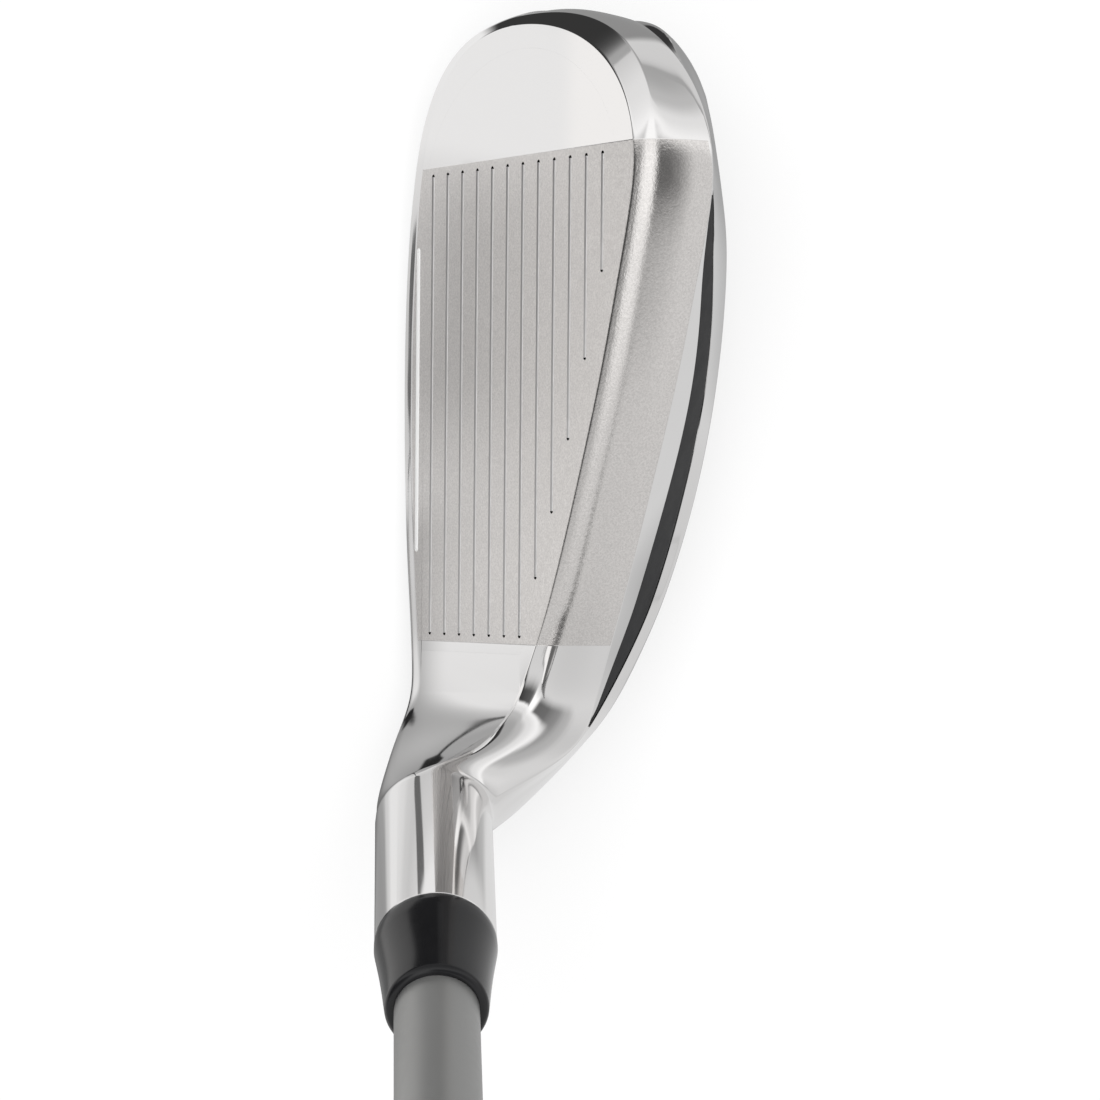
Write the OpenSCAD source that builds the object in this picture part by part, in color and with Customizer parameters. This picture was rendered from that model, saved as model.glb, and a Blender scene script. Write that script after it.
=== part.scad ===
// Hybrid iron golf club, right handed, in millimetres.
//
// The club stands at address: its sole rests on the ground, z = 0, the toe points
// along +X, the target lies along +Y and +Z is up.  The origin is the point where
// the axis of the shaft meets the ground.

/* [Club] */
// Angle of the shaft above the ground, degrees
lie = 62.5; // [61:0.5:64]
// Angle of the face back from vertical, degrees
loft = 29; // [27:0.5:31]
// Length of the club from the ground to the end of the grip, along the shaft
club_length = 952.5; // [914:0.5:991]

/* [Head] */
// Where the face plane meets the ground, ahead of the shaft's axis
face_ahead = 5.06; // [4.6:0.02:5.6]
// Where the toe starts to turn round, from the shaft's axis
toe_start = 58; // [56:0.5:60]
// Furthest point of the toe from the shaft's axis
toe_reach = 79.8; // [78:0.1:82]
// Height of the outermost line of the back
rim_height = 19; // [16:0.5:22]
// Curvature of the sole from heel to toe, as a radius
sole_radius = 170; // [140:5:220]
// How far the sole's lowest point lies from the shaft's axis
sole_low_x = 36; // [32:1:40]
// Height of the leading edge
leading_height = 2.7; // [2.2:0.1:3.2]
// Wall of the hollow head as a share of its section
wall_share = 0.13; // [0.12:0.01:0.2]

/* [Face] */
// Thickness of the face plate
plate_t = 2.6; // [2.2:0.1:3]
// Width of the body's front frame round the face plate
frame_w = 3; // [2.6:0.1:3.4]
// Number of scored lines
groove_count = 12; // [8:1:12]
// Height of the lowest scored line above the ground, up the face
groove_low = 9.72; // [9.4:0.02:10.2]
// Distance between scored lines
groove_pitch = 3.54; // [3.4:0.02:3.6]
// Width of a scored line
groove_w = 0.85; // [0.6:0.05:0.9]
// Depth of a scored line
groove_deep = 0.4; // [0.2:0.05:0.5]
// Length of the painted line below the scored ones
fill_length = 36.4; // [30:0.2:40]

/* [Crown panel] */
// Depth of the recess that the black panel fills
panel_t = 1.2; // [0.9:0.1:1.4]

/* [Hosel] */
// Outer radius of the hosel
hosel_r = 6.85; // [6.7:0.05:7]
// Distance from the ground to the hosel's top, along the shaft
hosel_top = 61; // [58:0.5:64]
// Radius of the bore that the shaft is bonded in
bore_r = 4.76; // [4.74:0.01:4.8]
// Depth of that bore
bore_deep = 28; // [25:0.5:29]
// Radius of the inner bend between the top line and the hosel
crotch_r = 10; // [9.5:0.1:10.5]

/* [Ferrule] */
// Length of the ferrule
ferrule_length = 13.5; // [12:0.5:25]
// Radius of the ferrule's upper end
ferrule_end_r = 5.75; // [5.5:0.05:6]

/* [Shaft] */
// Radius of the straight tip of the shaft
tip_r = 4.7; // [4.6:0.01:4.7]
// Radius of the shaft's butt end
butt_r = 7.62; // [7.3:0.01:7.7]
// Length of the straight tip
tip_straight = 115; // [80:5:200]
// Wall of the shaft at its tip
tip_wall = 2.4; // [2:0.1:2.6]
// Wall of the shaft at its butt
butt_wall = 1.2; // [1:0.1:1.6]

/* [Grip] */
// Length of the grip with its cap
grip_length = 267; // [255:1:280]
// Radius of the grip beside its cap
grip_butt_r = 13; // [12.5:0.1:13.5]
// Radius of the grip's mouth
grip_mouth_r = 8.4; // [8.2:0.1:8.8]
// Thickness of the cap
cap_t = 4.5; // [4:0.1:6]
// Radius of the cap
cap_r = 15.2; // [14.5:0.1:15.8]
// Radius of the vent hole in the cap
vent_r = 1.6; // [1.4:0.1:2]

/* [Hidden] */
$fn = 96;
eps = 0.05;

// ---- lines of the head: each is a smooth curve through a few points -----------
// Upper edge of the face: distance from the shaft's axis, height up the face
top_line = [[-4, 32.3], [-1.4, 32.3], [4.4, 34.7], [12.9, 39.1], [32, 46.9], [48.4, 52.6], [58, 55.2], [64, 55.4]];
// Rear edge of the top line: distance from the axis, y
rear_line = [[-1.4, -18.2], [5, -20], [14, -22.2], [28, -25.7], [40, -28.3], [50, -29.8], [58, -30.9], [64, -31.2]];
// Outermost line of the back
rim_line = [[-1.4, -22.4], [5, -25.8], [13.6, -29.1], [23, -31.7], [35, -33.9], [47, -34.9], [56, -34.6], [64, -33.4]];
// Leading edge
lead_line = [[-1.4, 2.5], [5, 2.6], [15, 3.15], [30, 3.55], [45, 3.45], [56, 3], [64, 2.3]];
// Drop of the wall behind the top line, and of the black panel under it
wall_drop = [[-1.4, 0.3], [5, 4], [13, 6.3], [25, 8], [38, 6.3], [46, 3], [52, 0.3], [64, 0.2]];
panel_drop = [[-1.4, 0.3], [5, 4.6], [13, 6.5], [25, 7], [38, 5.5], [48, 4], [53, 2.4], [58, 0.2], [64, 0.2]];
panel_min = 0.6;
wall_lean = 0.36;
panel_lean = 0.3;

// Crest of the top line, behind and above the face's upper edge
crest_back = 2.3;
crest_up = 0.9;
crest_fall = 2.4;

// Inner bend of the neck: centre of the fan of sections, in x and z
bend_x = -1.4;
bend_z = (crotch_r + hosel_r + -bend_x * sin(lie)) / cos(lie);
axis_from_bend = crotch_r + hosel_r;
neck_top = bend_x * -cos(lie) + bend_z * sin(lie);

// Places on the hosel's circle that the section's corners run to, degrees
hosel_turn = [0, 20, 41, 62, 82, 100, 150, 160, 164, 168, 172, 190, 205, 222, 240, 265, 290, 315, 335];
corners = len(hosel_turn);

// How fast each corner leaves the hosel's circle towards the heel's section, across
// the neck: the front swings in smoothly, the top and the back more evenly
function neck_share(i, s) = i >= 3 && i <= 13 ? s : s * s * (3 - 2 * s);

// Smooth curve through points [[x, y], ...], with its slope at each point taken
// from the two neighbours
function slope(p, i) = let (a = max(i - 1, 0), b = min(i + 1, len(p) - 1))
    (p[b][1] - p[a][1]) / (p[b][0] - p[a][0]);
function curve(p, x, i = 0) =
    i < len(p) - 2 && x > p[i + 1][0] ? curve(p, x, i + 1)
  : let (h = p[i + 1][0] - p[i][0], t = (x - p[i][0]) / h)
    (2 * t * t * t - 3 * t * t + 1) * p[i][1] + (t * t * t - 2 * t * t + t) * h * slope(p, i)
  + (3 * t * t - 2 * t * t * t) * p[i + 1][1] + (t * t * t - t * t) * h * slope(p, i + 1);
function mix(a, b, s) = a + (b - a) * s;

// Point on the face plane, v up the face
function face_y(v) = face_ahead - v * sin(loft);
function face_z(v) = v * cos(loft);
function face_yz(v) = [face_y(v), face_z(v)];

// Section of the head at x: its corners as [y, z], from the foot of the face up,
// over the top line, down the back and along the sole.  deep sinks the panel's part.
function section_yz(x, deep) =
    let (rise = pow(x - sole_low_x, 2) / (2 * sole_radius),
         foot = 4.9 + rise, head = curve(top_line, x),
         top = face_yz(head), crest = top + [-crest_back, crest_up],
         rear = [curve(rear_line, x), crest[1] - crest_fall],
         wd = curve(wall_drop, x), pd = curve(panel_drop, x),
         wall = rear + [-wd * wall_lean, -wd],
         panel = wall + [-pd * panel_lean, -pd],
         sink = deep * max(0, min(1, (pd - panel_min) / 2)) * [1, 0.25],
         rim = [curve(rim_line, x), rim_height],
         lead = curve(lead_line, x))
    [face_yz(foot), face_yz(mix(foot, head, 0.25)), face_yz(mix(foot, head, 0.5)),
     face_yz(mix(foot, head, 0.75)), top, crest, rear, wall, wall + sink + [0, -eps],
     panel + sink + [0, eps], panel, rim,
     rim + [0.6, -8 + rise], rim + [3.2, -13.8 + rise], [rim[0] + 9.5, 1.5 + rise],
     [(lead + rim[0]) / 2, rise], [lead - 7, 0.25 + rise], [lead - 1.1, 1.2 + rise],
     [lead, leading_height + rise]];

// Where the corners meet at the toe: one point for each pair, top and bottom
toe_face = [toe_reach - 1.8, face_y(32), face_z(32)];
toe_crest = [toe_reach - 0.5, -12.3, 28];
toe_rear = [toe_reach - 0.6, -22, 25];
toe_rim = [toe_reach - 2.6, -27, 20];
toe_sole = [toe_reach, -15, 24.5];
toe_points = [toe_face, toe_face, toe_face, toe_face, toe_face, toe_crest, toe_rear,
    toe_rear + [-0.1, -0.5, -0.3], toe_rear + [-0.1, -0.7, -0.4], toe_rear + [-0.2, -0.9, -0.5],
    toe_rear + [-0.2, -1.1, -0.6], toe_rim, toe_rim + [0.8, 2, 1], toe_rim + [1.4, 4, 2],
    mix(toe_rim, toe_sole, 0.8), toe_sole, toe_sole + [-0.1, 1, 0.6], toe_sole + [-0.2, 2, 1.5],
    toe_crest + [0, 0, -0.2]];

// Sections as points in space
function hosel_yb(i) = [(hosel_r - eps) * cos(hosel_turn[i]),
    bend_z - axis_from_bend + (hosel_r - eps) * sin(hosel_turn[i])];
function neck_section(turn, deep) =
    let (s = 1 - turn / lie, heel = section_yz(bend_x, deep))
    [for (i = [0:corners - 1])
        let (w = neck_share(i, s), h = hosel_yb(i),
             y = mix(h[0], heel[i][0], w), r = bend_z - mix(h[1], heel[i][1], s))
        [bend_x - r * sin(turn), y, bend_z - r * cos(turn)]];
function body_section(x, deep) = [for (p = section_yz(x, deep)) [x, p[0], p[1]]];
function toe_section(turn, deep) =
    let (p = section_yz(toe_start, deep), s = pow(sin(turn), 0.93), c = pow(cos(turn), 0.93))
    [for (i = [0:corners - 1])
        [mix(toe_start, toe_points[i][0], s), mix(toe_points[i][1], p[i][0], c),
         mix(toe_points[i][2], p[i][1], c)]];

// Solid through a list of sections, each with the same number of corners
module loft_solid(rings) {
    n = len(rings[0]);
    last = len(rings) - 1;
    sides = [for (k = [0:last - 1], i = [0:n - 1])
        let (a = k * n + i, b = k * n + (i + 1) % n) [a + n, b + n, b, a]];
    ends = [[for (i = [0:n - 1]) i], [for (i = [n - 1:-1:0]) last * n + i]];
    polyhedron(points = [for (r = rings, p = r) p], faces = concat(sides, ends), convexity = 6);
}

// The children stand along the shaft's axis, z counted from the ground
module on_shaft() { rotate([0, lie - 90, 0]) children(); }
// The children lie on the face: x towards the toe, y up the face, z into the head
module on_face() { translate([0, face_ahead, 0]) rotate([90 + loft, 0, 0]) children(); }

// ---- head ---------------------------------------------------------------------
neck_turns = [for (i = [0:9]) lie * (1 - i / 10)];
body_stops = [for (i = [0:14]) mix(bend_x, toe_start, i / 14)];
toe_turns = [8, 16, 24, 32, 41, 50, 59, 68, 77, 86];

module head_outside() {
    loft_solid(concat([for (t = neck_turns) neck_section(t, panel_t)],
                      [for (x = body_stops) body_section(x, panel_t)],
                      [for (t = toe_turns) toe_section(t, 0)]));
}

// Hollow inside the head: the outside section shrunk towards its middle
function shrunk(ring) =
    let (mid = [for (k = [0:2]) (ring[0][k] + ring[4][k] + ring[6][k] + ring[11][k] + ring[15][k]) / 5])
    [for (i = [0, 4, 5, 6, 9, 11, 12, 13, 14, 15, 16]) mix(ring[i], mid, wall_share)];
module head_hollow() {
    loft_solid([for (x = [6, 14, 24, 34, 44, 52]) shrunk(body_section(x, panel_t)),
                for (t = [4, 20, 34]) shrunk(toe_section(t, 0))]);
}

// Outline of the face plate, inside the body's front frame
plate_heel = 3.5;
plate_outline = concat(
    [for (x = [plate_heel:5.45:toe_start]) [x, curve(top_line, x) - frame_w]],
    [for (t = [10:10:170])
        let (up = curve(top_line, toe_start) - frame_w, low = groove_low - 2, mid = (up + low) / 2)
        [toe_start + (toe_reach - 1.8 - frame_w - toe_start) * sin(t), mid + (up - mid) * cos(t)]],
    [[toe_start, groove_low - 2], [plate_heel, groove_low - 2]]);

module plate_solid(out) {
    on_face() translate([0, 0, -out]) linear_extrude(plate_t + out) polygon(plate_outline);
}

module face_line(x0, x1, v, deep, out) {
    on_face() translate([x0, v - groove_w / 2, -out]) cube([x1 - x0, groove_w, deep + out]);
}

// Scored lines: they share the toe end; the upper ones follow the top line at the heel
groove_toe = 61.3;
groove_heel = 5.75;
function groove_v(i) = groove_low + i * groove_pitch;
function groove_start(i) = i < 7 ? groove_heel : groove_heel + 6.6 * (i - 6) + 0.37 * (i - 6) * (i - 6);

fill_v = groove_low - groove_pitch;
fill_heel = 16;

module head_body() {
    color("silver") difference() {
        union() {
            head_outside();
            on_shaft() translate([0, 0, neck_top - 1]) cylinder(r = hosel_r, h = hosel_top - neck_top + 1);
        }
        head_hollow();
        plate_solid(1);
        face_line(fill_heel, fill_heel + fill_length, fill_v, groove_deep, 1);
        on_shaft() translate([0, 0, hosel_top - bore_deep]) cylinder(r = bore_r, h = bore_deep + 1);
    }
}

module face_plate() {
    color("lightgray") difference() {
        plate_solid(0);
        for (i = [0:groove_count - 1]) face_line(groove_start(i), groove_toe, groove_v(i), groove_deep, 1);
    }
}

module face_line_fill() {
    color("white") face_line(fill_heel + eps, fill_heel + fill_length - eps, fill_v, groove_deep - eps, -eps);
}

// Black panel: fills the recess between the wall and the rim
function panel_ring(x) =
    let (p = section_yz(x, panel_t), n = [0, 0.02])
    [for (q = [p[7] - n, p[8] - n, p[9] + n, p[10] + n]) [x, q[0], q[1]]];
module crown_panel() {
    color("dimgray") loft_solid([for (x = body_stops)
        if (curve(panel_drop, x) > panel_min + 0.2) panel_ring(x)]);
}

module sole_weight() {
    color("darkslategray") translate([16, -25, 5.4])
        rotate([90, 0, 90]) linear_extrude(36)
            polygon([[0, 2.2], [2.5, 0.4], [12, -0.6], [12, 3.4], [2, 5.4], [0, 4.6]]);
}

module toe_weight() {
    color("darkslategray") translate([62, -21, 12]) cylinder(r = 4, h = 8);
}

// ---- shaft and fittings, all on the shaft's axis --------------------------------
shaft_foot = hosel_top - bore_deep + 0.5;
shaft_head = club_length - cap_t;
taper_foot = shaft_foot + tip_straight;
function shaft_r(z) = z <= taper_foot ? tip_r
    : mix(tip_r, butt_r, (z - taper_foot) / (shaft_head - taper_foot));
function shaft_in(z) = mix(tip_r - tip_wall, butt_r - butt_wall, (z - shaft_foot) / (shaft_head - shaft_foot));

module turned(profile) { on_shaft() rotate_extrude() polygon(profile); }

module ferrule() {
    lip = 0.9;
    top = hosel_top + ferrule_length;
    color("black") turned(concat(
        [[tip_r + 0.02, hosel_top], [hosel_r, hosel_top], [hosel_r + 0.05, hosel_top + 1]],
        [for (a = [0:15:90]) [ferrule_end_r - lip * (1 - cos(a)), top - lip * (1 - sin(a))]],
        [[tip_r + 0.02, top]]));
}

module shaft() {
    color("gray") turned([
        [shaft_in(shaft_foot), shaft_foot], [tip_r - 0.4, shaft_foot], [tip_r, shaft_foot + 0.6],
        [tip_r, taper_foot], [butt_r, shaft_head], [butt_r - butt_wall, shaft_head]]);
}

module tip_weight() {
    color("goldenrod") on_shaft() translate([0, 0, shaft_foot]) cylinder(r = tip_r - tip_wall - 0.05, h = 19);
}

// Sleeve over the shaft, from z0 to z1, between two distances out from its surface
module over_shaft(z0, z1, gap, thick0, thick1) {
    turned([[shaft_r(z0) + gap, z0], [shaft_r(z0) + gap + thick0, z0],
            [shaft_r(z1) + gap + thick1, z1], [shaft_r(z1) + gap, z1]]);
}

grip_foot = club_length - grip_length;
tape_t = 0.15;
seat = 0.01;

module grip_tape() { color("khaki") over_shaft(grip_foot + 3, shaft_head, seat, tape_t, tape_t); }

module grip_sleeve() {
    bore0 = shaft_r(grip_foot) + tape_t + 2 * seat;
    bore1 = shaft_r(shaft_head) + tape_t + 2 * seat;
    color("black") turned([
        [bore0, grip_foot], [grip_mouth_r - 0.4, grip_foot], [grip_mouth_r, grip_foot + 0.5],
        [grip_mouth_r, grip_foot + 6], [mix(grip_mouth_r, grip_butt_r, 0.62), shaft_head - 130],
        [mix(grip_mouth_r, grip_butt_r, 0.86), shaft_head - 50], [grip_butt_r, shaft_head],
        [bore1, shaft_head]]);
}

module grip_cap() {
    round_r = 1.6;
    color("black") on_shaft() translate([0, 0, shaft_head]) rotate_extrude() polygon(concat(
        [[vent_r, 0], [cap_r - 0.8, 0], [cap_r, 0.9]],
        [for (a = [0:15:90]) [cap_r - round_r * (1 - cos(a)), cap_t - round_r * (1 - sin(a))]],
        [[vent_r, cap_t]]));
}

head_body();
face_plate();
face_line_fill();
crown_panel();
sole_weight();
toe_weight();
ferrule();
shaft();
tip_weight();
grip_tape();
grip_sleeve();
grip_cap();
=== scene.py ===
"""Hybrid iron golf club, right handed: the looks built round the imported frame."""

import math

import bmesh
import bpy
import numpy as np
from mathutils import Matrix, Vector
from mathutils.geometry import tessellate_polygon


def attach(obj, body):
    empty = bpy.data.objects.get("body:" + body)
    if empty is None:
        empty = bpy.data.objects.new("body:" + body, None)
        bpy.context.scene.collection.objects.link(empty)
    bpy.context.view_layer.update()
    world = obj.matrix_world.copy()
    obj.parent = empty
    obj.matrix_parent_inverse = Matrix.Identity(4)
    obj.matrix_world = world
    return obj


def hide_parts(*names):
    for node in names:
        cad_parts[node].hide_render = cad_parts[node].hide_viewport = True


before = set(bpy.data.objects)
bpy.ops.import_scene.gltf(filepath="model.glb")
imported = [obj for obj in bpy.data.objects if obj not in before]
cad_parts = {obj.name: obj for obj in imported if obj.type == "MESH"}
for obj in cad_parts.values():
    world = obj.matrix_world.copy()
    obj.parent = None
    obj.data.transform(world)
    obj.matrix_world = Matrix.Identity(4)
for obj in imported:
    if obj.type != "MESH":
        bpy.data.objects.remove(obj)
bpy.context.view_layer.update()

# -------- shape of the head, in millimetres

MM = 0.001
LIE = math.radians(62.5)
LOFT = math.radians(29.0)
SIN_L, COS_L = math.sin(LOFT), math.cos(LOFT)
SHAFT_DIR = np.array([-math.cos(LIE), 0.0, math.sin(LIE)])
# square to the shaft, towards the toe
SHAFT_SIDE = np.array([math.sin(LIE), 0.0, math.cos(LIE)])
# where the face plane meets the ground, ahead of the shaft's axis
FACE_AHEAD = 5.06
HOSEL_R, HOSEL_TOP = 6.85, 61.0
BORE_R, BORE_DEEP = 4.85, 27.0
# the bend turns the upright section at BEND_X into the round hosel; its centre lies BEND_Z up
CROTCH_R = 10.0
BEND_X = -1.4
AXIS_GAP = CROTCH_R + HOSEL_R
BEND_Z = (AXIS_GAP - BEND_X * math.sin(LIE)) / math.cos(LIE)
TOE_START = 58.0
# heel and toe end of the black strip
STRIP_FROM, STRIP_TO = -5.5, 57.5
# lowest place of the sole, and the radius of its curve towards the heel and towards the toe
SOLE_LOW_X, SOLE_HEEL_R, SOLE_TOE_R = 36.0, 300.0, 195.0
RIM_HEIGHT = 19.0
# how far the crest stands over the straight line between its edges
CREST_RISE = 0.62


class Spline:
    """A smooth cubic through a few points, straight beyond its ends; start and end fix the slope there."""

    def __init__(self, points, start=None, end=None):
        self.x = np.array([p[0] for p in points], float)
        self.y = np.array([p[1] for p in points], float)
        n = len(self.x)
        h = np.diff(self.x)
        d = np.diff(self.y) / h
        a = np.zeros((n, n))
        b = np.zeros(n)
        for i in range(1, n - 1):
            a[i, i - 1 : i + 2] = h[i], 2 * (h[i - 1] + h[i]), h[i - 1]
            b[i] = 3 * (h[i] * d[i - 1] + h[i - 1] * d[i])
        if start is None:
            a[0, :2] = 2, 1
            b[0] = 3 * d[0]
        else:
            a[0, 0], b[0] = 1, start
        if end is None:
            a[-1, -2:] = 1, 2
            b[-1] = 3 * d[-1]
        else:
            a[-1, -1], b[-1] = 1, end
        self.m = np.linalg.solve(a, b)

    def __call__(self, x):
        x0, x1 = self.x[0], self.x[-1]
        if x <= x0:
            return self.y[0] + self.m[0] * (x - x0)
        if x >= x1:
            return self.y[-1] + self.m[-1] * (x - x1)
        i = min(int(np.searchsorted(self.x, x, "right")) - 1, len(self.x) - 2)
        h = self.x[i + 1] - self.x[i]
        t = (x - self.x[i]) / h
        return (
            (2 * t**3 - 3 * t**2 + 1) * self.y[i]
            + (t**3 - 2 * t**2 + t) * h * self.m[i]
            + (3 * t**2 - 2 * t**3) * self.y[i + 1]
            + (t**3 - t**2) * h * self.m[i + 1]
        )


def ease(t):
    t = min(max(t, 0.0), 1.0)
    return t * t * (3 - 2 * t)


# lines that run from heel to toe: distance from the shaft's axis, then the value there
TOP_V = Spline(
    [(-1.4, 30.9), (5, 35.0), (13, 39.1), (23, 43.4), (35, 48.1), (47, 52.1), (55, 54.5), (60, 55.3)], end=0.0
)
REAR_Y = Spline(
    [(-1.4, -19.2), (5, -20.7), (13, -22.6), (23, -24.8), (35, -27.3), (47, -29.4), (56, -30.7), (62, -30.9)]
)
RIM_Y = Spline(
    [(-1.4, -22.6), (5, -25.6), (13, -28.6), (23, -31.4), (35, -33.6), (47, -34.7), (54, -34.7), (60, -34.0)]
)
LEAD_Y = Spline(
    [(-1.4, 2.65), (5, 2.85), (13, 3.3), (23, 3.7), (35, 3.88), (47, 3.75), (56, 3.3), (62, 2.75)]
)
# the wall behind the crest and the black strip below it: how far back and how far down each one goes
WALL_Y = Spline(
    [(-6, 0.0), (-1.4, 0.5), (5, 1.45), (13, 2.05), (23, 2.5), (35, 2.3), (43, 1.4), (50, 0.3), (54, 0.0)]
)
WALL_Z = Spline(
    [(-6, 0.2), (0, 1.8), (6, 4.2), (13, 6.4), (25, 8.0), (38, 6.3), (46, 3.0), (52, 0.4), (56, 0.1)]
)
STRIP_Y = Spline(
    [(STRIP_FROM, 0), (-1.4, 1.1), (5, 2.0), (13, 2.5), (23, 2.45), (35, 2.1), (47, 1.6)]
    + [(53, 0.9), (STRIP_TO, 0)]
)
STRIP_Z = Spline(
    [(STRIP_FROM, 0), (0, 2.6), (6, 4.8), (13, 6.4), (25, 7.0), (38, 5.6), (48, 4.0)]
    + [(53, 2.4), (STRIP_TO, 0)]
)

# corners of a section, from the bottom of the face round over the top line and back along the sole
CORNERS = ("L0", "U0", "U1", "UM", "U2", "U3", "U4", "U5", "B1", "B2", "S3", "S2", "S1", "L2", "L1")
# where each one arrives on the round hosel, degrees from straight ahead
TURN = dict(
    L0=0, U0=84, U1=124, UM=143, U2=162, U3=168, U4=169, U5=186,
    B1=205, B2=222, S3=242, S2=268, S1=295, L2=318, L1=338,
)
# the last point of each line at the end of the toe
TOE_END = dict(
    L0=(77.9, -8.6, 24.65), U0=(77.9, -8.6, 24.65), U1=(79.25, -9.8, 23.9), L1=(79.25, -9.8, 23.9),
    UM=(80.05, -13.4, 23.6), U2=(78.75, -21.8, 23.2), U3=(78.7, -21.95, 23.15), U4=(78.65, -22.1, 23.1),
    U5=(76.3, -29.8, 21.8), B1=(76.9, -28.7, 22.2), B2=(77.9, -26.7, 22.7), S3=(78.75, -21.8, 23.2),
    S2=(79.95, -16.6, 23.4), S1=(80.02, -12.6, 23.65), L2=(79.75, -10.9, 23.8),
)


def camber(x):
    """Height of the sole's curve above its lowest point; flatter towards the heel."""
    radius = SOLE_HEEL_R if x < SOLE_LOW_X else SOLE_TOE_R
    return (x - SOLE_LOW_X) ** 2 / (2 * radius)


def square_to(along):
    """Unit vector square to a flat one."""
    return np.array([along[1], -along[0]]) / np.hypot(*along)


def section(x):
    """(Y, Z) of every corner of the section that stands at x."""
    v = TOP_V(x)
    u0 = np.array([FACE_AHEAD - v * SIN_L, v * COS_L])
    # the band behind the face's top edge rises as it runs back, and is wider towards the heel
    back = 2.3 + 0.5 * ease((22 - x) / 24)
    u1 = u0 + (-back, 0.39 * back)
    u2 = np.array([REAR_Y(x), u1[1] - 2.2])
    up = square_to(u2 - u1)
    um = (u1 + u2) / 2 + up * math.copysign(CREST_RISE, up[1])
    u3 = u2 - (max(WALL_Y(x), 0.04), max(WALL_Z(x), 0.1))
    u4 = u3 - ((max(STRIP_Y(x), 0.02), max(STRIP_Z(x), 0.06)) if STRIP_FROM < x < STRIP_TO else (0.02, 0.06))
    rim, front, sole = RIM_Y(x), LEAD_Y(x), camber(x)
    low = 4.3 + sole
    return dict(
        L0=np.array([FACE_AHEAD - low * SIN_L / COS_L, low]),
        U0=u0, U1=u1, UM=um, U2=u2, U3=u3, U4=u4,
        U5=np.array([rim, RIM_HEIGHT]),
        B1=np.array([rim + 0.5, 11.0 + 0.8 * sole]),
        B2=np.array([rim + 2.8, 4.6 + sole]),
        S3=np.array([rim + 9.0, 1.2 + sole]),
        S2=np.array([(front + rim) / 2, -0.15 + sole]),
        S1=np.array([front - 7.0, 0.2 + sole]),
        L2=np.array([front - 1.3, 1.1 + sole]),
        L1=np.array([front, 2.7 + sole]),
    )


# extra points that a line passes on its way round the bend: degrees, Y, distance from the bend's centre
BEND_VIA = dict(
    L0=[(7, 3.2, 31.2), (16, 5.0, 28.0), (30, 6.45, 23.2), (46, 6.85, 19.0)],
    L1=[(5, 3.45, 33.2), (12, 4.7, 31.0), (26, 6.1, 25.8), (45, 6.5, 20.6)],
    U0=[(9, -8.9, 12.1), (18, -7.5, 11.9), (26, -6.1, 11.5), (40, -3.3, 10.7)],
    U1=[(9, -11.3, 11.1), (18, -9.7, 10.9), (27, -8.1, 10.75), (40, -6.0, 10.6)],
    U2=[(16, -18.4, 13.2), (31, -15.9, 14.0), (45, -11.0, 14.8), (56, -7.6, 15.3)],
    U5=[(11, -20.2, 19.6), (18.6, -17.9, 19.0), (27, -15.0, 18.5), (45, -9.2, 17.8), (55, -7.3, 17.6)],
    B1=[(11, -19.4, 27.0), (18.6, -16.8, 26.0), (27, -13.6, 24.8), (45, -8.2, 21.8)],
    B2=[(11, -17.0, 32.4), (18.6, -14.5, 30.8), (27, -11.8, 28.6), (45, -7.6, 24.2)],
    S3=[(11, -11.3, 35.0), (18.6, -9.4, 33.2), (27, -7.4, 30.8), (45, -4.6, 26.0)],
)
# lines that meet the hosel at a slant and not squarely
CREASED = ("U2", "U5", "B1")
# a short step along the head, to take the slope of a line
STEP = 0.05


def bend_lines():
    """For every corner, its Y and its distance from the bend's centre as curves of the bend's turn."""
    base, near = section(BEND_X), section(BEND_X + STEP)
    out = {}
    for k in CORNERS:
        y0, z0 = base[k]
        dy, dz = (near[k] - base[k]) / STEP
        rho = BEND_Z - z0
        th = math.radians(TURN[k])
        ye, re = HOSEL_R * math.cos(th), AXIS_GAP - HOSEL_R * math.sin(th)
        via = [(math.radians(a), y, r) for a, y, r in BEND_VIA.get(k, [])]
        end = None if k in CREASED else 0.0
        ys = [(0, y0)] + [(a, y) for a, y, _ in via] + [(LIE, ye)]
        rs = [(0, rho)] + [(a, r) for a, _, r in via] + [(LIE, re)]
        out[k] = (Spline(ys, start=-rho * dy, end=end), Spline(rs, start=rho * dz, end=end))
    return out


BEND = bend_lines()


def bend_crest(a):
    p, q = bend_flat("U1", a), bend_flat("U2", a)
    up = square_to(q - p)
    rise = CREST_RISE - 0.25 * a / LIE
    return (p + q) / 2 - up * math.copysign(rise, up[1])


def bend_strip(k, a):
    """The strip's edges lie between the lines above and below, and close up as the bend turns."""
    base = section(BEND_X)
    u2, u3, u4, u5 = (np.array([base[c][0], BEND_Z - base[c][1]]) for c in ("U2", "U3", "U4", "U5"))
    run = u5 - u2
    at3, at4 = (u3 - u2) @ run / (run @ run), (u4 - u2) @ run / (run @ run)
    out3, out4 = u3 - u2 - run * at3, u4 - u2 - run * at4
    # the strip's own width runs out at its tip, 14 degrees into the bend
    tip = ease(1 - a / math.radians(14))
    t3 = at3 + (0.25 - at3) * (a / LIE)
    t4 = t3 + (at4 - at3) * tip + 0.01
    share, out = (t3, out3) if k == "U3" else (t4, out3 + (out4 - out3) * tip)
    p, q = bend_flat("U2", a), bend_flat("U5", a)
    return p + (q - p) * share + out * (1 - a / LIE)


def bend_flat(k, a):
    """(Y, distance from the bend's centre) of a corner at a turn of the bend."""
    if k == "UM":
        return bend_crest(a)
    if k in ("U3", "U4"):
        return bend_strip(k, a)
    return np.array([BEND[k][0](a), BEND[k][1](a)])


def bend_point(k, a):
    y, r = bend_flat(k, a)
    return np.array([BEND_X - r * math.sin(a), y, BEND_Z - r * math.cos(a)])


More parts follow.
